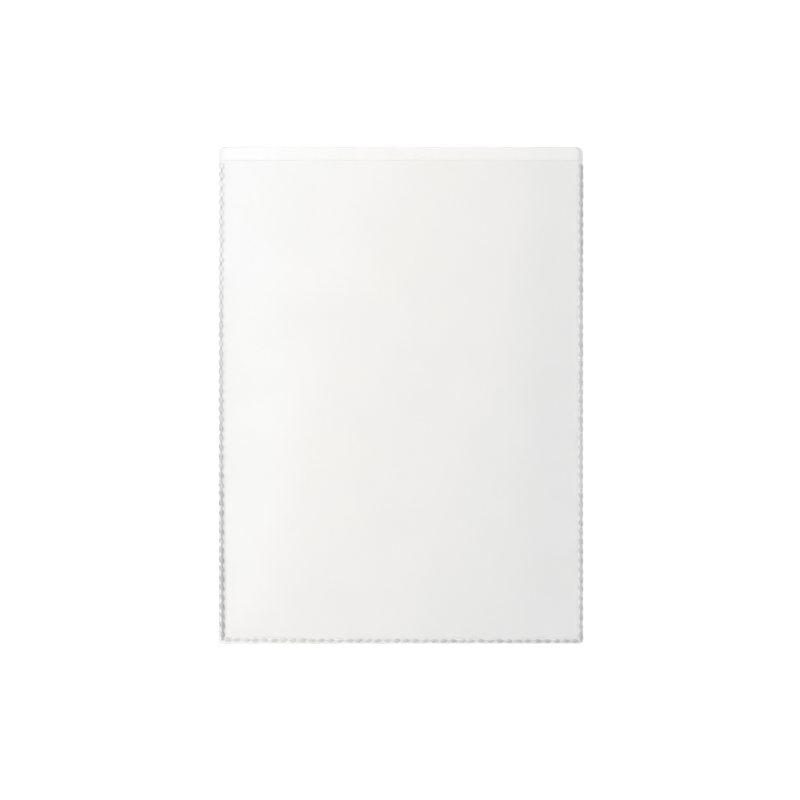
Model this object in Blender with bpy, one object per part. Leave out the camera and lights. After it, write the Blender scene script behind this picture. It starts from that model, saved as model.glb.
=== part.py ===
"""Clear card holder sleeve: a front film welded to a taller back film along both sides and the bottom.

The sleeve lies on its back. X runs across it, Y runs up it towards the open mouth, and Z comes out of the
front film. The origin is the middle of the back film's rear face. Lengths are in metres.
"""

import math

import bmesh
import bpy
from mathutils import Matrix, Vector

MM = 0.001

# The sleeve as a whole
SLEEVE_WIDTH = 80.0 * MM
SLEEVE_HEIGHT = 109.0 * MM
LIP_HEIGHT = 2.9 * MM  # the back film stands this far above the mouth
TOP_CORNER_RADIUS = 1.2 * MM
BOTTOM_CORNER_RADIUS = 0.8 * MM
CORNER_SEGMENTS = 5

# The two films and the pocket between them
BACK_FILM = 0.20 * MM
FRONT_FILM = 0.20 * MM
POCKET_DEPTH = 0.40 * MM
FILM_SEAT = 0.03 * MM  # clearance where a film meets a weld, and where two welds meet

# Section of a weld, measured inwards from the trimmed edge
WELD_WIDTH = 1.40 * MM  # trimmed edge to the inner line of the fused band
FLANK_WIDTH = 0.60 * MM  # the front film comes down to the band over this width
LAND_THICKNESS = 0.14 * MM  # front film left above the back film where the tool pressed it
TEAR_WIDTH = 0.14 * MM  # the band thins over this width towards the trimmed edge
TEAR_THICKNESS = 0.05 * MM
RIDGE_WIDTH = 0.10 * MM  # slope from the land up to the ridge of squeezed-out plastic
TRIM_ALLOWANCE = 0.25 * MM  # welded past the outline, then trimmed off

# The stitch pattern along a weld: a chain of raised beads, with a lower and narrower link between each pair
STITCH_PITCH = 2.06 * MM
STITCH_END_MARGIN = 0.30 * MM  # plain band left at an end of the pattern
BEAD_LENGTH = 1.66 * MM
BEAD_WIDTH = 1.04 * MM
BEAD_HEIGHT = 0.20 * MM
BEAD_LINE = 0.67 * MM  # trimmed edge to the middle of the beads
LINK_WIDTH = 0.52 * MM
LINK_HEIGHT = 0.14 * MM
LINK_SETBACK = 0.05 * MM  # the chain stops this far short of a mitre
BEAD_SIDES = 10
BEAD_RINGS = 4
LINK_SEGMENTS = 6

# Looks
CLEAR_FILM = (0.93, 0.94, 0.94, 1.0)
FUSED_FILM = (0.84, 0.85, 0.86, 1.0)
FILM_ROUGHNESS = 0.06
FUSED_ROUGHNESS = 0.18
FILM_ALPHA = 0.30
FUSED_ALPHA = 0.55
SMOOTH_ANGLE = math.radians(40)

# Places worked out from the sizes above
LEFT = -SLEEVE_WIDTH / 2
RIGHT = SLEEVE_WIDTH / 2
BOTTOM = -SLEEVE_HEIGHT / 2
TOP = SLEEVE_HEIGHT / 2
MOUTH = TOP - LIP_HEIGHT
POCKET_ROOF = BACK_FILM + POCKET_DEPTH
FRONT_FACE = POCKET_ROOF + FRONT_FILM
WELD_FOOT = BACK_FILM + FILM_SEAT
LAND = WELD_FOOT + LAND_THICKNESS
RIDGE = WELD_FOOT + FRONT_FILM
LAND_INNER = WELD_WIDTH - 2 * RIDGE_WIDTH
CHAIN_FOOT = LAND - LAND_THICKNESS / 2
SEAM_WIDTH = WELD_WIDTH + FLANK_WIDTH


def clear_scene():
    for old in list(bpy.data.objects):
        bpy.data.objects.remove(old)


def new_collection(name):
    made = bpy.data.collections.new(name)
    bpy.context.scene.collection.children.link(made)
    return made


def film_material(name, colour, roughness, alpha):
    material = bpy.data.materials.new(name)
    material.use_nodes = True
    shader = material.node_tree.nodes["Principled BSDF"]
    shader.inputs["Base Color"].default_value = colour
    shader.inputs["Roughness"].default_value = roughness
    shader.inputs["Metallic"].default_value = 0.0
    shader.inputs["Alpha"].default_value = alpha
    return material


def object_from(name, work, collection):
    """The bmesh as an object in the collection, with its faces turned outwards."""
    bmesh.ops.recalc_face_normals(work, faces=work.faces[:])
    mesh = bpy.data.meshes.new(name)
    work.to_mesh(mesh)
    work.free()
    made = bpy.data.objects.new(name, mesh)
    collection.objects.link(made)
    return made


def finish_part(part, material, parent):
    part.data.materials.append(material)
    part.data.shade_smooth()
    part.data.set_sharp_from_angle(angle=SMOOTH_ANGLE)
    part.parent = parent


def as_cutter(cutter):
    cutter.hide_render = True
    cutter.display_type = "WIRE"


def add_boolean(part, cutter, operation):
    modifier = part.modifiers.new(f"{operation.lower()}_{cutter.name}", "BOOLEAN")
    modifier.operation = operation
    modifier.object = cutter
    modifier.solver = "EXACT"


def block(low, high):
    """A bmesh box between two corners."""
    low, high = Vector(low), Vector(high)
    work = bmesh.new()
    size = Matrix.Diagonal((*(high - low), 1.0))
    bmesh.ops.create_cube(work, size=1.0, matrix=Matrix.Translation((low + high) / 2) @ size)
    return work


def round_upright_edges(work, at_top, radius):
    """Rounds the two upright edges of a block at its mouth end or at its bottom end."""
    wanted = []
    for edge in work.edges:
        first, second = (vertex.co for vertex in edge.verts)
        upright = abs(first.z - second.z) > max(abs(first.x - second.x), abs(first.y - second.y))
        if upright and (first.y > 0) == at_top:
            wanted.append(edge)
    bmesh.ops.bevel(
        work,
        geom=wanted,
        offset=radius,
        offset_type="OFFSET",
        segments=CORNER_SEGMENTS,
        profile=0.5,
        affect="EDGES",
    )


def outline_block(low_z, high_z):
    """The sleeve's rounded outline as a plate between two heights."""
    work = block((LEFT, BOTTOM, low_z), (RIGHT, TOP, high_z))
    round_upright_edges(work, True, TOP_CORNER_RADIUS)
    round_upright_edges(work, False, BOTTOM_CORNER_RADIUS)
    return work


def make_back_sheet(collection):
    return object_from("back_sheet", outline_block(0.0, BACK_FILM), collection)


def make_front_sheet(collection):
    inset = SEAM_WIDTH + FILM_SEAT
    low = (LEFT + inset, BOTTOM + inset, POCKET_ROOF)
    high = (RIGHT - inset, MOUTH, FRONT_FACE)
    return object_from("front_sheet", block(low, high), collection)


def weld_section():
    """Corners of a weld's section as (distance in from the trimmed edge, height)."""
    return (
        (-TRIM_ALLOWANCE, WELD_FOOT),
        (WELD_WIDTH, WELD_FOOT),
        (SEAM_WIDTH, POCKET_ROOF),
        (SEAM_WIDTH, FRONT_FACE),
        (WELD_WIDTH - RIDGE_WIDTH, RIDGE),
        (LAND_INNER, LAND),
        (TEAR_WIDTH, LAND),
        (-TRIM_ALLOWANCE, WELD_FOOT + TEAR_THICKNESS),
    )


def link_section():
    """Corners of the arched link's section, sunk half way into the land."""
    corners = []
    for step in range(LINK_SEGMENTS + 1):
        turn = math.pi * step / LINK_SEGMENTS
        inwards = BEAD_LINE + LINK_WIDTH / 2 * math.cos(turn)
        corners.append((inwards, CHAIN_FOOT + (LAND + LINK_HEIGHT - CHAIN_FOOT) * math.sin(turn)))
    return corners


def bar(section, start, end, mitred_start, mitred_end, setback):
    """A bar along local X, with inwards along local Y.

    At a mitre each corner of the section slides by its distance in, and stops the setback short of it.
    """
    work = bmesh.new()
    corners = [work.verts.new((0.0, inwards, height)) for inwards, height in section]
    start_face = work.faces.new(corners)
    extruded = bmesh.ops.extrude_face_region(work, geom=[start_face])
    far_corners = [item for item in extruded["geom"] if isinstance(item, bmesh.types.BMVert)]
    for corner in far_corners:
        corner.co.x = end - (corner.co.y + setback if mitred_end else 0.0)
    for corner in corners:
        corner.co.x = start + (corner.co.y + setback if mitred_start else 0.0)
    return work


def stitch_centres(length, mitred_start, mitred_end):
    """Where the beads of a weld lie along it: as many as fit, centred in the room between its ends."""
    clear_of_mitre = BEAD_LINE + math.hypot(BEAD_LENGTH, BEAD_WIDTH) / 2 + 2 * FILM_SEAT
    clear_of_end = STITCH_END_MARGIN + BEAD_LENGTH / 2
    low = clear_of_mitre if mitred_start else clear_of_end
    high = length - (clear_of_mitre if mitred_end else clear_of_end)
    steps = int((high - low) / STITCH_PITCH)
    first = (low + high - steps * STITCH_PITCH) / 2
    return [first + step * STITCH_PITCH for step in range(steps + 1)]


def make_beads(name, centres, collection):
    """Domes along the land, each with a flat underside sunk half way into the land."""
    size = Matrix.Diagonal((BEAD_LENGTH / 2, BEAD_WIDTH / 2, LAND + BEAD_HEIGHT - CHAIN_FOOT, 1.0))
    work = bmesh.new()
    for centre in centres:
        place = Matrix.Translation((centre, BEAD_LINE, CHAIN_FOOT)) @ size
        ball = bmesh.ops.create_uvsphere(
            work, u_segments=BEAD_SIDES, v_segments=BEAD_RINGS, radius=1.0, matrix=place
        )
        for vertex in ball["verts"]:
            vertex.co.z = max(vertex.co.z, CHAIN_FOOT)
    return object_from(name, work, collection)


def make_link(name, centres, length, mitred_start, mitred_end, collection):
    """One long arch that runs through all the beads and on to the mitres."""
    start = 0.0 if mitred_start else centres[0]
    end = length if mitred_end else centres[-1]
    setback = FILM_SEAT + LINK_SETBACK
    work = bar(link_section(), start, end, mitred_start, mitred_end, setback)
    return object_from(name, work, collection)


def make_weld(name, corner, turn, length, mitred_start, mitred_end, outline, parts, cutters):
    """A weld from a corner of the sleeve, running along local X after the turn about Z."""
    plain = bar(weld_section(), 0.0, length, mitred_start, mitred_end, FILM_SEAT)
    weld = object_from(name, plain, parts)
    centres = stitch_centres(length, mitred_start, mitred_end)
    beads = make_beads(f"{name}_beads", centres, cutters)
    link = make_link(f"{name}_link", centres, length, mitred_start, mitred_end, cutters)
    for piece in (weld, beads, link):
        piece.location = (*corner, 0.0)
        piece.rotation_euler = (0.0, 0.0, turn)
    for cutter in (beads, link):
        as_cutter(cutter)
        add_boolean(weld, cutter, "UNION")
    add_boolean(weld, outline, "INTERSECT")
    return weld


def main():
    clear_scene()
    parts = new_collection("card_holder_sleeve")
    cutters = new_collection("cutters")
    sleeve = bpy.data.objects.new("card_holder_sleeve", None)
    parts.objects.link(sleeve)

    clear_film = film_material("clear_film", CLEAR_FILM, FILM_ROUGHNESS, FILM_ALPHA)
    fused_film = film_material("fused_film", FUSED_FILM, FUSED_ROUGHNESS, FUSED_ALPHA)

    finish_part(make_back_sheet(parts), clear_film, sleeve)
    finish_part(make_front_sheet(parts), clear_film, sleeve)

    outline = object_from("outline", outline_block(0.0, 2 * FRONT_FACE), cutters)
    as_cutter(outline)
    side = MOUTH - BOTTOM
    quarter = math.pi / 2
    welds = (
        ("left_weld", (LEFT, MOUTH), -quarter, side, False, True),
        ("bottom_weld", (LEFT, BOTTOM), 0.0, SLEEVE_WIDTH, True, True),
        ("right_weld", (RIGHT, BOTTOM), quarter, side, True, False),
    )
    for name, corner, turn, length, mitred_start, mitred_end in welds:
        weld = make_weld(
            name, corner, turn, length, mitred_start, mitred_end, outline, parts, cutters
        )
        finish_part(weld, fused_film, sleeve)


main()
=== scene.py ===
"""Looks of the clear card holder sleeve: two films, three stitch-pattern welds, floor, light and camera.

Lengths are in metres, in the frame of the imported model: X across the sleeve, Y up to its mouth, Z out of it.
"""

import math
from collections import namedtuple

import bmesh
import bpy
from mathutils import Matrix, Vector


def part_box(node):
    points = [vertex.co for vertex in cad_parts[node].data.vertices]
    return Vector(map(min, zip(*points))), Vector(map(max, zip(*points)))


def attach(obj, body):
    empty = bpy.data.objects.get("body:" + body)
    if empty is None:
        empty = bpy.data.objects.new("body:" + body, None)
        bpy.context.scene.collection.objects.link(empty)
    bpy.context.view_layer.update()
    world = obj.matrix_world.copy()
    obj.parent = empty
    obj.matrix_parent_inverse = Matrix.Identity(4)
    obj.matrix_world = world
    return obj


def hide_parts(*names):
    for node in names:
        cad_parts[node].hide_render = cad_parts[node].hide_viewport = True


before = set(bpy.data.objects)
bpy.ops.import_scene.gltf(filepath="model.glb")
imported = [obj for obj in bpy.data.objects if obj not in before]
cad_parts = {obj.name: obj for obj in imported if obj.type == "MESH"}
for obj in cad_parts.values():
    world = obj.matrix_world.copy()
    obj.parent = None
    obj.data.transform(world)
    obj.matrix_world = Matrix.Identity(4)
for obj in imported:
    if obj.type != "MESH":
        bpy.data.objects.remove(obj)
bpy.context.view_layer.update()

MM = 0.001

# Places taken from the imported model
BACK_LOW, BACK_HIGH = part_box("back_sheet")
FRONT_LOW, FRONT_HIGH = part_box("front_sheet")
WELD_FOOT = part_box("bottom_weld")[0].z
LEFT, BOTTOM = BACK_LOW.x, BACK_LOW.y
RIGHT, TOP = BACK_HIGH.x, BACK_HIGH.y
MOUTH = FRONT_HIGH.y
FILM_THICKNESS = FRONT_HIGH.z - FRONT_LOW.z

# Sizes repeated from the part's source
TOP_CORNER_RADIUS = 1.2 * MM
BOTTOM_CORNER_RADIUS = 0.8 * MM
WELD_WIDTH = 1.40 * MM  # trimmed edge to the inner line of the fused band
FLANK_WIDTH = 0.60 * MM  # the front film comes down to the band over this width
LAND_THICKNESS = 0.14 * MM  # front film left above the back film where the tool pressed it
TEAR_WIDTH = 0.14 * MM  # the band thins over this width towards the trimmed edge
TEAR_THICKNESS = 0.05 * MM
STITCH_PITCH = 2.06 * MM
STITCH_END_MARGIN = 0.30 * MM
BEAD_LENGTH = 1.66 * MM
BEAD_WIDTH = 1.04 * MM
BEAD_HEIGHT = 0.20 * MM
LINK_WIDTH = 0.52 * MM
LINK_HEIGHT = 0.14 * MM
FILM_SEAT = 0.03 * MM  # clearance where a film meets a weld, and where two welds meet

# How finely the pieces are meshed
FILM_STEP = 3.5 * MM
FLANK_STEPS = 6
ARC_STEPS = 8
STEPS_PER_STITCH = 12
WELD_STEPS = 15
RIM_STEPS = (0.0, 0.13, 0.5, 1.0, 1.5)  # rows beside a cut edge, in widths of its rounding
SMOOTH_ANGLE = math.radians(50)

# Small departures from flat, which bend the reflections
EDGE_ROUND = 0.10 * MM
MOUTH_FALL = 0.70  # share of the film's thickness
MOUTH_FALL_WIDTH = 0.40 * MM
FILM_CROWN = 0.20 * MM
BACK_CROWN = 0.15 * MM
CROWN_WIDTH = 13.0 * MM
FILM_WAVE = 0.012 * MM
BACK_PHASE = 1.0
FRONT_PHASE = 2.6

# The ripples of a film's wave: millimetres per radian across and up the sleeve, how strongly the film's
# phase shifts each, and how much each counts
Ripple = namedtuple("Ripple", "across_mm up_mm phase weight")
RIPPLES = (Ripple(9, 17, 1.0, 1), Ripple(13, -8, 2.3, 1), Ripple(31, 39, 0.7, 2))

# The three welds as the tool left them: how hard it pressed (which also sets their grey milk and its painted
# shade), how far in the beads run, how wide they are and
# how well they are linked, each at the start, middle and end of the weld, and then how the beads lean
Stitch = namedtuple("Stitch", "press line_mm width_mm links lean")
LEFT_STITCH = Stitch(
    press=(0.20, 0.55, 1.20),
    line_mm=(0.70, 0.53, 0.88),
    width_mm=(1.22, 1.20, 1.02),
    links=(1.0, 1.0, 1.0),
    lean=0.20,
)
BOTTOM_STITCH = Stitch(
    press=(0.42, 0.62, 1.02),
    line_mm=(0.90, 0.69, 0.62),
    width_mm=(0.88, 0.84, 0.84),
    links=(0.3, 0.3, 0.3),
    lean=0.04,
)
RIGHT_STITCH = Stitch(
    press=(0.95, 0.64, 1.35),
    line_mm=(0.53, 0.55, 0.51),
    width_mm=(1.00, 1.08, 1.00),
    links=(0.9, 0.8, 1.0),
    lean=0.14,
)

# The beads: how full their domes are, and how much grey milk they get; the lamps light the milk, and its grey
# is painted shade for the dark lines of clear beads
DOME_POWER = 0.8
LEAST_MILK_AND_SHADE = 0.26
MORE_MILK_AND_SHADE = 0.48  # more grey milk and painted shade where the tool pressed with full strength
MILK_AND_SHADE_EDGE = 2.0  # how fast the milk and its painted shade set in from the rim
HOLLOW = 0.9  # how far the milk keeps off the middle of a lightly pressed bead, leaving its painted shade as a ring at the rim
HOLLOW_EDGE = 1.2  # how fast that clears from the rim

# How far single beads differ from each other
BEAD_SHIFT = 0.06  # share of a bead's length
LEAN_SPREAD = 0.10
HEIGHT_SPREAD = 0.18
MILK_AND_SHADE_SPREAD = 0.22

# What chance draws those differences from: a whole number for each bead, plus a part for each difference
DRAWS_PER_WELD = 100
LEAN_DRAW = 0.37
HEIGHT_DRAW = 0.71
MILK_AND_SHADE_DRAW = 0.53
CHANCE_TURN = 12.9898
CHANCE_START = 4.1
CHANCE_SCALE = 4375.85

# The weld tool runs on past the mouth, and leaves a faint mark along the left and right ends of the lip, drawn
# in grey milk; its greater grey at the right end is painted shade
LEFT_MARK_AND_SHADE = 0.05
RIGHT_MARK_AND_SHADE = 0.20
MARK_START = 0.35 * MM
MARK_END = 0.70 * MM
MARK_FADE = 0.70 * MM

# The two clear films: what passes one face, the index that sets how much it reflects, what passes a cut edge
# (a darker tint, painted shade for the dark line of cut edges and steep slopes) and how frosted that is, all
# set by the photograph's tones, and which place in the noise the film takes
Film = namedtuple("Film", "tint ior edge frosted noise_place")
BACK_FILM = Film(
    tint=(0.9525, 0.9532, 0.9548, 1.0),
    ior=1.647,
    edge=(0.90, 0.905, 0.91, 1.0),
    frosted=0.5,
    noise_place=0.3,
)
FRONT_FILM = Film(
    tint=(0.995, 0.995, 0.995, 1.0),
    ior=1.19,
    edge=(0.88, 0.883, 0.886, 1.0),
    frosted=0.0,
    noise_place=1.7,
)
EDGE_FROST = (0.80, 0.80, 0.80, 1.0)
EDGE_SHADE_SLOPE = (0.96, 0.75)  # cosines of the slope, from still a face to wholly a cut edge, over which the painted shade of the edge tint sets in
HAZE = (0.86, 0.86, 0.86, 1.0)
HAZE_SHARE = (0.0, 0.01)
FILM_ROUGHNESS = (0.14, 0.20)
FILM_BUMP = 0.12

# The fused film of the welds: clear, and a grey milk that is partly painted shade
FUSED_CLEAR = (1.0, 1.0, 1.0, 1.0)
FUSED_MILK_AND_SHADE = (0.40, 0.403, 0.406, 1.0)
MILK_AND_SHADE_BLOTCH = (0.85, 1.1)
WELD_IOR = 1.28
WELD_ROUGHNESS = (0.34, 0.46)
WELD_BUMP = 0.1

# Noise: scale per metre and detail, then the depth of the grain and the values a noise is taken between
Noise = namedtuple("Noise", "scale detail")
FILM_GRAIN = Noise(1800.0, 2.0)
FILM_SMUDGE = Noise(45.0, 4.0)
WELD_GRAIN = Noise(6000.0, 2.0)
WELD_BLOTCH = Noise(260.0, 3.0)
GRAIN_DEPTH = 0.02 * MM
NOISE_RANGE = (0.3, 0.7)
HAZE_RANGE = (0.25, 0.75)

# Floor
FLOOR_SIZE = 6.0
FLOOR_GAP = 0.05 * MM
FLOOR_PAINT = (0.92, 0.92, 0.92, 1.0)

# Studio dome: brightness beside that of white paper, and ways as unit vectors
ROOM_WHITE = (1.0, 1.0, 1.0, 1.0)
WALL_WAY = (-0.832, 0.555, 0.0)  # towards the near wall
FAR_WALL = 0.92
NEAR_WALL = 1.16
WALL_TOP = (0.62, 0.92)  # sines of the height between which the walls fade out
KEY = 15.0
KEY_WAY = (-0.465, 0.310, 0.829)
KEY_REACH = math.radians(17)
PANEL_OUTER = math.radians(26)  # from straight up
PANEL_INNER = math.radians(14)
PANEL_SLANT = (-0.957, 0.29, 0.0)
PANEL_REACH = 0.17  # sine of how far from straight up the panel's stops run, either way
FACES_SEEN_THROUGH = 32

# How the overhead panel fades along its slant: how far along, how bright and how warm each stop is
PANEL_STOPS = (
    (0.10, 0.0, 0.0),
    (0.25, 0.2, 0.0),
    (0.34, 0.88, 0.0),
    (0.42, 1.08, 0.0),
    (0.49, 1.29, 0.8),
    (0.60, 1.25, 1.0),
    (0.66, 2.21, 0.0),
    (0.90, 1.86, 0.0),
    (0.96, 2.41, 0.0),
)
WARMTH = (0.0, 0.22, 0.62)  # what full warmth takes off red, green and blue

# Camera: the sleeve's width and place in the 800 pixel frame of the photograph
FRAME_PIXELS = 800
SLEEVE_PIXELS = 364.5
SLEEVE_CENTRE_PIXELS = (400.75, 395.3)
LENS_MM = 85
SENSOR_MM = 36
CLIP_START = 0.01


def film_wave(x, y, phase):
    """A slow unevenness of a film, between 0 and 1."""
    total = 0.0
    for ripple in RIPPLES:
        turn = x / (ripple.across_mm * MM) + y / (ripple.up_mm * MM) + ripple.phase * phase
        total += ripple.weight * math.sin(turn)
    return 0.5 + total / (2 * sum(ripple.weight for ripple in RIPPLES))


def ease(share):
    """A share kept between 0 and 1, and made to start and end gently."""
    share = min(max(share, 0.0), 1.0)
    return share * share * (3 - 2 * share)


def spaced(low, high, step):
    """Values from low to high, at most a step apart."""
    count = max(1, math.ceil((high - low) / step))
    return [low + (high - low) * index / count for index in range(count + 1)]


def solid_between(name, upper, lower, milk_and_shade=()):
    """A closed piece between two grids of points of the same shape, walled round their rims.

    Milk and shade gives a value from 0 up for each point of the upper grid: the share of grey milk, partly
    painted shade, kept for the material.
    """
    work = bmesh.new()
    milk_and_shade_layer = work.verts.layers.float.new("milk_and_shade")
    top = [[work.verts.new(point) for point in row] for row in upper]
    under = [[work.verts.new(point) for point in row] for row in lower]
    for row, values in zip(top, milk_and_shade):
        for vertex, value in zip(row, values):
            vertex[milk_and_shade_layer] = value
    last_row = len(top) - 1
    last_column = len(top[0]) - 1
    for row in range(last_row):
        for column in range(last_column):
            corners = ((row, column), (row, column + 1), (row + 1, column + 1), (row + 1, column))
            work.faces.new([top[r][c] for r, c in corners])
            work.faces.new([under[r][c] for r, c in reversed(corners)])
    rim = [(0, column) for column in range(last_column)]
    rim += [(row, last_column) for row in range(last_row)]
    rim += [(last_row, column) for column in range(last_column, 0, -1)]
    rim += [(row, 0) for row in range(last_row, 0, -1)]
    for (r, c), (next_r, next_c) in zip(rim, rim[1:] + rim[:1]):
        work.faces.new((top[r][c], under[r][c], under[next_r][next_c], top[next_r][next_c]))
    bmesh.ops.recalc_face_normals(work, faces=work.faces[:])
    mesh = bpy.data.meshes.new(name)
    work.to_mesh(mesh)
    work.free()
    mesh.shade_smooth()
    mesh.set_sharp_from_angle(angle=SMOOTH_ANGLE)
    piece = bpy.data.objects.new(name, mesh)
    bpy.context.scene.collection.objects.link(piece)
    return piece


def corner_inset(distance, radius):
    """How far a rounded corner draws the outline in, at a distance from the end of the side."""
    if distance >= radius:
        return 0.0
    return radius - math.sqrt(max(radius**2 - (radius - distance) ** 2, 0.0))


def rim_drop(distance, width, depth):
    """How far a film's face lies below its level at a distance from a cut edge: a small rounding."""
    share = min(distance / width, 1.0)
    return depth * (1 - math.sqrt(1 - (1 - share) ** 2))


def lip_mark_and_shade(x, y):
    """How much grey milk the back film gets: a faint tool mark near the two ends of the lip, darker at the
    right end as painted shade.
    """
    side = min(x - LEFT, RIGHT - x)
    across = ease(side / MARK_START) * (1 - ease((side - MARK_END) / MARK_FADE))
    return (LEFT_MARK_AND_SHADE if x < 0 else RIGHT_MARK_AND_SHADE) * across * ease(1 + (y - MOUTH) / MARK_FADE)


def back_film():
    """The back film: full outline with rounded corners, its upper rim eased."""
    rim = [EDGE_ROUND * step for step in RIM_STEPS]
    sides = rim + [MARK_START, MARK_END, MARK_END + MARK_FADE]
    arcs = [1 - math.cos(math.pi / 2 * step / ARC_STEPS) for step in range(ARC_STEPS)]
    low_rows = [BOTTOM + BOTTOM_CORNER_RADIUS * arc for arc in arcs]
    high_rows = [TOP - TOP_CORNER_RADIUS * arc for arc in reversed(arcs)]
    rows = low_rows + spaced(BOTTOM + BOTTOM_CORNER_RADIUS, TOP - TOP_CORNER_RADIUS, FILM_STEP) + high_rows
    rows += [BOTTOM + inset for inset in rim[1:]] + [TOP - inset for inset in rim[1:]]
    rows = sorted(rows + [MOUTH - MARK_FADE, MOUTH - MARK_FADE / 2, MOUTH])
    columns = [LEFT + inset for inset in sides[:-1]]
    columns += spaced(LEFT + sides[-1], RIGHT - sides[-1], FILM_STEP)
    columns += [RIGHT - inset for inset in reversed(sides[:-1])]
    upper, lower, milk_and_shade = [], [], []
    for y in rows:
        inset = max(
            corner_inset(TOP - y, TOP_CORNER_RADIUS), corner_inset(y - BOTTOM, BOTTOM_CORNER_RADIUS)
        )
        upper.append([])
        lower.append([])
        milk_and_shade.append([lip_mark_and_shade(column, y) for column in columns])
        for column in columns:
            x = column * (RIGHT - inset) / RIGHT
            side = min(column - LEFT, RIGHT - column)
            edge = min(side, y - BOTTOM)
            crown = BACK_CROWN * ease((edge - WELD_WIDTH) / CROWN_WIDTH)
            lift = crown - FILM_WAVE * film_wave(x, y, BACK_PHASE)
            drop = rim_drop(min(edge, TOP - y), EDGE_ROUND, EDGE_ROUND)
            upper[-1].append((x, y, BACK_HIGH.z + lift - drop))
            lower[-1].append((x, y, max(BACK_LOW.z, BACK_LOW.z + lift)))
    return solid_between("back_film", upper, lower, milk_and_shade)


def front_film():
    """The front film: it swells gently over the pocket, and comes down to the weld along three sides."""
    flank = [FLANK_WIDTH * step / FLANK_STEPS for step in range(FLANK_STEPS)]
    west, east, south = LEFT + WELD_WIDTH, RIGHT - WELD_WIDTH, BOTTOM + WELD_WIDTH
    columns = [west + inwards for inwards in flank]
    columns += spaced(west + FLANK_WIDTH, east - FLANK_WIDTH, FILM_STEP)
    columns += [east - inwards for inwards in reversed(flank)]
    rim = [MOUTH_FALL_WIDTH * step for step in RIM_STEPS]
    rows = [south + inwards for inwards in flank]
    rows += spaced(south + FLANK_WIDTH, MOUTH - rim[-1], FILM_STEP)
    rows += [MOUTH - inset for inset in reversed(rim[:-1])]
    land = WELD_FOOT + LAND_THICKNESS
    swell = FRONT_HIGH.z - land - FILM_CROWN
    half = (east - west) / 2
    upper, lower = [], []
    for y in rows:
        upper.append([])
        lower.append([])
        for x in columns:
            inwards = min(x - west, east - x, y - south)
            middle = min(inwards / half, 1.0)
            rise = FILM_CROWN * ease(inwards / CROWN_WIDTH) + swell * middle * (2 - middle)
            wave = FILM_WAVE * film_wave(x, y, FRONT_PHASE) * ease(inwards / FLANK_WIDTH)
            thick = LAND_THICKNESS + (FILM_THICKNESS - LAND_THICKNESS) * ease(inwards / FLANK_WIDTH)
            face = land + rise - wave
            foot = max(face - thick, WELD_FOOT)
            fall = rim_drop(MOUTH - y, MOUTH_FALL_WIDTH, MOUTH_FALL * (face - foot))
            upper[-1].append((x, y, face - fall))
            lower[-1].append((x, y, foot))
    return solid_between("front_film", upper, lower)


def stitch_centres(length, start_line, end_line):
    """Where the beads of a weld lie along it: as many as fit between its ends, clear of its mitres.

    A line says how far in the beads run at a mitred end, and is False at a plain one.
    """
    clear_of_mitre = math.hypot(BEAD_LENGTH, BEAD_WIDTH) / 2 + 2 * FILM_SEAT
    clear_of_end = STITCH_END_MARGIN + BEAD_LENGTH / 2
    low = start_line + clear_of_mitre if start_line else clear_of_end
    high = length - (end_line + clear_of_mitre if end_line else clear_of_end)
    steps = int((high - low) / STITCH_PITCH)
    first = (low + high - steps * STITCH_PITCH) / 2
    return [first + step * STITCH_PITCH for step in range(steps + 1)]


def chance(number):
    """A repeatable value between -1 and 1 that looks random from one number to the next."""
    stirred = abs(math.sin(CHANCE_TURN * number + CHANCE_START) * CHANCE_SCALE)
    return 2 * math.modf(stirred)[0] - 1


def drift(share, start, middle, end):
    """A value a share of the way along a weld, from those at its start, middle and end."""
    bend = 2 * (start + end - 2 * middle)
    return start + (end - start - bend) * share + bend * share**2


def dome(reach):
    """Rounded profile of a bead: 1 in its middle, 0 where the squared reach comes to 1."""
    return max(1 - reach, 0.0) ** DOME_POWER


def weld_face(along, inwards, share, centres, chain, stitch, seed):
    """A weld's upper face, as height above its foot and share of grey milk (partly painted shade): torn edge,
    land, chain of linked beads.
    """
    strength = drift(share, *stitch.press)
    line = MM * drift(share, *stitch.line_mm)
    width = MM * drift(share, *stitch.width_mm)
    links = drift(share, *stitch.links)
    tear = ease(inwards / TEAR_WIDTH)
    height = TEAR_THICKNESS + (LAND_THICKNESS - TEAR_THICKNESS) * tear
    step = min(max(round((along - centres[0]) / STITCH_PITCH), 0), len(centres) - 1)
    draw = step + seed
    offset = along - centres[step] - BEAD_SHIFT * BEAD_LENGTH * chance(draw)
    across = inwards - line - (stitch.lean + LEAN_SPREAD * chance(draw + LEAN_DRAW)) * offset
    tall = BEAD_HEIGHT * (1 + HEIGHT_SPREAD * chance(draw + HEIGHT_DRAW))
    bead_reach = (2 * offset / BEAD_LENGTH) ** 2 + (2 * across / width) ** 2
    link_reach = (2 * (inwards - line) / LINK_WIDTH) ** 2
    if not chain[0] < along < chain[-1]:
        link_reach = 1.0
    height += strength * max(tall * dome(bead_reach), links * LINK_HEIGHT * dome(link_reach))
    # Grey milk, partly painted shade: a ring at the rim of a lightly pressed bead, fuller in a hard-pressed
    # one
    hollow = HOLLOW * max(1 - strength, 0.0) * ease(HOLLOW_EDGE * (1 - bead_reach))
    cloud = 1 + MILK_AND_SHADE_SPREAD * chance(draw + MILK_AND_SHADE_DRAW)
    bead_milk_and_shade = cloud * ease(MILK_AND_SHADE_EDGE * (1 - bead_reach)) * (1 - hollow)
    link_milk_and_shade = links * ease(MILK_AND_SHADE_EDGE * (1 - link_reach)) * min(bead_reach, 1.0)
    return height, max(bead_milk_and_shade, link_milk_and_shade) * (LEAST_MILK_AND_SHADE + MORE_MILK_AND_SHADE * strength)


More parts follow.
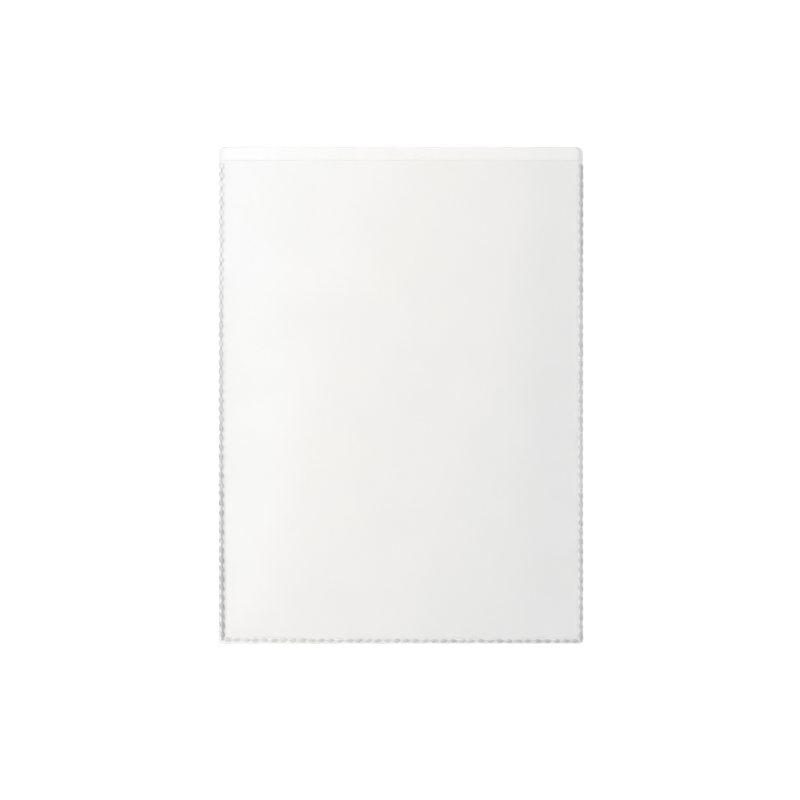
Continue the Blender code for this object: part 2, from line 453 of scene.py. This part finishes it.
def weld(name, corner, turn, length, mitred_start, mitred_end, stitch, seed):
    """A weld from a corner of the sleeve, along its own X after the turn, with the pocket on its left."""
    first_line, last_line = MM * stitch.line_mm[0], MM * stitch.line_mm[-1]
    centres = stitch_centres(length, mitred_start and first_line, mitred_end and last_line)
    chain = (0.0 if mitred_start else centres[0], length if mitred_end else centres[-1])
    radius = BOTTOM_CORNER_RADIUS
    inner = WELD_WIDTH - FILM_SEAT
    stations = spaced(0.0, length, STITCH_PITCH / STEPS_PER_STITCH)
    shares = [step / WELD_STEPS for step in range(WELD_STEPS + 1)]
    upper, lower, milk_and_shade = [], [], []
    for station in stations:
        upper.append([])
        lower.append([])
        milk_and_shade.append([])
        for share in shares:
            inwards = share * inner
            low = inwards + FILM_SEAT if mitred_start else 0.0
            high = length - inwards - FILM_SEAT if mitred_end else length
            along = low + (high - low) * station / length
            start_inset = corner_inset(along, radius) if mitred_start else 0.0
            end_inset = corner_inset(length - along, radius) if mitred_end else 0.0
            inset = max(start_inset, end_inset)
            place = inset + (inner - inset) * share
            x = corner[0] + along * math.cos(turn) - place * math.sin(turn)
            y = corner[1] + along * math.sin(turn) + place * math.cos(turn)
            height, milk_and_shade_share = weld_face(along, inwards, along / length, centres, chain, stitch, seed)
            upper[-1].append((x, y, WELD_FOOT + height))
            lower[-1].append((x, y, WELD_FOOT))
            milk_and_shade[-1].append(milk_and_shade_share)
    return solid_between(name, upper, lower, milk_and_shade)


class Nodes:
    """A material's or world's node tree, with short ways to add to it."""

    def __init__(self, owner):
        owner.use_nodes = True
        self.tree = owner.node_tree
        self.tree.nodes.clear()

    def set(self, socket, value):
        """Link a socket to another node's output, or give it a plain value."""
        if isinstance(value, bpy.types.NodeSocket):
            self.tree.links.new(value, socket)
        else:
            socket.default_value = value

    def add(self, kind, settings=None, **values):
        """A new node with these settings, and these values in the inputs so named."""
        node = self.tree.nodes.new(kind)
        for name, value in (settings or {}).items():
            setattr(node, name, value)
        for name, value in values.items():
            self.set(node.inputs[name], value)
        return node

    def fill(self, node, *values):
        """The first output of a node, with these values in its first inputs."""
        for socket, value in zip(node.inputs, values):
            self.set(socket, value)
        return node.outputs[0]

    def math(self, operation, *values):
        """The result of a sum."""
        return self.fill(self.add("ShaderNodeMath", {"operation": operation}), *values)

    def spread(self, value, from_low, from_high, to_low, to_high, interpolation="SMOOTHSTEP"):
        """A value carried over from one range to another."""
        node = self.add("ShaderNodeMapRange", {"interpolation_type": interpolation})
        return self.fill(node, value, from_low, from_high, to_low, to_high)

    def mix(self, share, first, second):
        """Two shaders, with a share of the second."""
        return self.fill(self.add("ShaderNodeMixShader"), share, first, second)

    def noise(self, kind, place):
        """The height of a noise at a place."""
        return self.add("ShaderNodeTexNoise", Vector=place, Scale=kind.scale, Detail=kind.detail).outputs[0]

    def bump(self, height, strength):
        """The way a surface faces once a fine grain stands on it."""
        return self.add("ShaderNodeBump", Height=height, Strength=strength, Distance=GRAIN_DEPTH).outputs[0]

    def matt(self, colour):
        """A matt surface."""
        return self.add("ShaderNodeBsdfDiffuse", Color=colour).outputs[0]

    def see_through(self, colour):
        """A surface that lets this much light straight through."""
        return self.add("ShaderNodeBsdfTransparent", Color=colour).outputs[0]

    def milk_and_shade(self):
        """How much grey milk, partly painted shade, the mesh gives the film."""
        return self.add("ShaderNodeAttribute", {"attribute_name": "milk_and_shade"}).outputs["Fac"]


def gloss_of_a_film(nodes, ior, roughness, normal):
    """The gloss of both faces of a thin film, put on its near face, and how much of the light it takes.

    Where one face reflects a share R, both together reflect 2R / (1 + R).
    """
    fresnel = nodes.add("ShaderNodeFresnel", IOR=ior, Normal=normal).outputs[0]
    twice = nodes.math("MULTIPLY", fresnel, 2.0)
    both_faces = nodes.math("DIVIDE", twice, nodes.math("ADD", fresnel, 1.0))
    near = nodes.math("SUBTRACT", 1.0, nodes.add("ShaderNodeNewGeometry").outputs["Backfacing"])
    gloss = nodes.add("ShaderNodeBsdfGlossy", Roughness=roughness, Normal=normal).outputs[0]
    return nodes.math("MULTIPLY", both_faces, near), gloss


def steepness(nodes, gentle, steep):
    """How far the surface is from level, 0 up to a gentle slope and 1 from a steep one, as cosines."""
    normal = nodes.add("ShaderNodeNewGeometry").outputs["Normal"]
    upright = nodes.add("ShaderNodeSeparateXYZ", Vector=normal).outputs[2]
    return nodes.spread(nodes.math("ABSOLUTE", upright), gentle, steep, 0.0, 1.0)


def clear_film(name, film):
    """Clear soft film: what is behind shows through, under a soft gloss, with cut edges and other steep slopes
    in a darker tint that is painted shade, frosted as the film says.
    """
    material = bpy.data.materials.new(name)
    nodes = Nodes(material)
    place = nodes.add("ShaderNodeTexCoord").outputs["Object"]
    shift = (film.noise_place, 2 * film.noise_place, 0.0)
    shifted = nodes.add("ShaderNodeMapping", Vector=place, Location=shift).outputs[0]
    bump = nodes.bump(nodes.noise(FILM_GRAIN, shifted), FILM_BUMP)
    smudge = nodes.noise(FILM_SMUDGE, shifted)
    roughness = nodes.spread(smudge, *NOISE_RANGE, *FILM_ROUGHNESS)
    share, gloss = gloss_of_a_film(nodes, film.ior, roughness, bump)
    haze_share = nodes.spread(smudge, *HAZE_RANGE, *HAZE_SHARE)
    body = nodes.mix(haze_share, nodes.see_through(film.tint), nodes.matt(HAZE))
    # Steep faces take the darker edge tint, which is painted shade; the frosted share of an edge is lit by the
    # lamps
    edge = nodes.mix(film.frosted, nodes.see_through(film.edge), nodes.matt(EDGE_FROST))
    body = nodes.mix(steepness(nodes, *EDGE_SHADE_SLOPE), body, edge)
    # Grey milk where the mesh gives it: on the back film, the lip's tool mark, partly painted shade
    body = nodes.mix(nodes.milk_and_shade(), body, nodes.matt(FUSED_MILK_AND_SHADE))
    nodes.add("ShaderNodeOutputMaterial", Surface=nodes.mix(share, body, gloss))
    return material


def fused_film(name):
    """Pressed and fused film: clear on the land, grey milk in the raised beads and their links; the lamps
    light the milk, and its grey is painted shade.
    """
    material = bpy.data.materials.new(name)
    nodes = Nodes(material)
    place = nodes.add("ShaderNodeTexCoord").outputs["Object"]
    blotch = nodes.noise(WELD_BLOTCH, place)
    bump = nodes.bump(nodes.noise(WELD_GRAIN, place), WELD_BUMP)
    roughness = nodes.spread(blotch, *NOISE_RANGE, *WELD_ROUGHNESS)
    share, gloss = gloss_of_a_film(nodes, WELD_IOR, roughness, bump)
    milky_and_shaded = nodes.math("MULTIPLY", nodes.milk_and_shade(), nodes.spread(blotch, *NOISE_RANGE, *MILK_AND_SHADE_BLOTCH))
    body = nodes.mix(milky_and_shaded, nodes.see_through(FUSED_CLEAR), nodes.matt(FUSED_MILK_AND_SHADE))
    nodes.add("ShaderNodeOutputMaterial", Surface=nodes.mix(share, body, gloss))
    return material


def dress(piece, material, node):
    """Give a piece its material, and put it in the place of a node."""
    piece.data.materials.append(material)
    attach(piece, "root")
    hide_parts(node)


def make_sleeve():
    """The two films, and the welds: down the left side, along the bottom and up the right side."""
    back = clear_film("back_clear_film", BACK_FILM)
    front = clear_film("front_clear_film", FRONT_FILM)
    dress(back_film(), back, "back_sheet")
    dress(front_film(), front, "front_sheet")
    fused = fused_film("fused_weld")
    side = MOUTH - BOTTOM
    quarter = math.pi / 2
    welds = (
        ("left_weld", (LEFT, MOUTH), -quarter, side, False, True, LEFT_STITCH),
        ("bottom_weld", (LEFT, BOTTOM), 0.0, RIGHT - LEFT, True, True, BOTTOM_STITCH),
        ("right_weld", (RIGHT, BOTTOM), quarter, side, True, False, RIGHT_STITCH),
    )
    for number, (node, *shape) in enumerate(welds):
        dress(weld(f"{node}_seam", *shape, DRAWS_PER_WELD * number), fused, node)


def make_floor():
    """A plain pale floor just under the sleeve."""
    bpy.ops.mesh.primitive_plane_add(size=FLOOR_SIZE, location=(0.0, 0.0, BACK_LOW.z - FLOOR_GAP))
    floor = bpy.context.object
    floor.name = "floor"
    material = bpy.data.materials.new("pale_floor")
    nodes = Nodes(material)
    nodes.add("ShaderNodeOutputMaterial", Surface=nodes.matt(FLOOR_PAINT))
    floor.data.materials.append(material)


def make_light():
    """A studio dome: pale walls, a key light at the upper left, and an overhead panel that fades across."""
    world = bpy.data.worlds.new("studio")
    bpy.context.scene.world = world
    nodes = Nodes(world)
    way = nodes.add("ShaderNodeTexCoord").outputs["Generated"]
    up = nodes.add("ShaderNodeSeparateXYZ", Vector=way).outputs[2]

    def towards(direction):
        dot = nodes.add("ShaderNodeVectorMath", {"operation": "DOT_PRODUCT"})
        nodes.fill(dot, way, direction)
        return dot.outputs["Value"]

    place = nodes.spread(towards(PANEL_SLANT), -PANEL_REACH, PANEL_REACH, 0.0, 1.0, "LINEAR")
    ramp = nodes.add("ShaderNodeValToRGB", Fac=place)
    stops = ramp.color_ramp.elements
    for position, *_ in PANEL_STOPS[1:-1]:
        stops.new(position)
    for stop, (position, brightness, warm) in zip(stops, PANEL_STOPS):
        stop.position = position
        stop.color = (*(brightness * (1 - warm * loss) for loss in WARMTH), 1.0)
    key = nodes.spread(towards(KEY_WAY), math.cos(KEY_REACH), 1.0, 0.0, 1.0)
    key = nodes.math("MULTIPLY", key, KEY)
    walls = nodes.spread(towards(WALL_WAY), -1.0, 1.0, FAR_WALL, NEAR_WALL, "LINEAR")
    walls = nodes.math("MULTIPLY", walls, nodes.spread(up, *WALL_TOP, 1.0, 0.0))
    surround = nodes.math("ADD", walls, key)
    overhead = nodes.spread(up, math.cos(PANEL_OUTER), math.cos(PANEL_INNER), 0.0, 1.0)
    room = nodes.add("ShaderNodeBackground", Color=ROOM_WHITE, Strength=surround).outputs[0]
    panel = nodes.add("ShaderNodeBackground", Color=ramp.outputs[0], Strength=1.0).outputs[0]
    nodes.add("ShaderNodeOutputWorld", Surface=nodes.mix(overhead, room, panel))
    bpy.context.scene.view_settings.view_transform = "Standard"
    bpy.context.scene.cycles.transparent_max_bounces = FACES_SEEN_THROUGH


def make_camera():
    """Straight down on the sleeve, with its mouth at the top of the picture."""
    pixel = (RIGHT - LEFT) / SLEEVE_PIXELS
    data = bpy.data.cameras.new("camera")
    data.lens = LENS_MM
    data.sensor_width = SENSOR_MM
    data.clip_start = CLIP_START
    camera = bpy.data.objects.new("camera", data)
    middle = FRAME_PIXELS / 2
    x = (middle - SLEEVE_CENTRE_PIXELS[0]) * pixel
    y = (SLEEVE_CENTRE_PIXELS[1] - middle) * pixel
    camera.location = (x, y, BACK_HIGH.z + FRAME_PIXELS * pixel * LENS_MM / SENSOR_MM)
    bpy.context.scene.collection.objects.link(camera)
    bpy.context.scene.camera = camera


make_sleeve()
make_floor()
make_light()
make_camera()
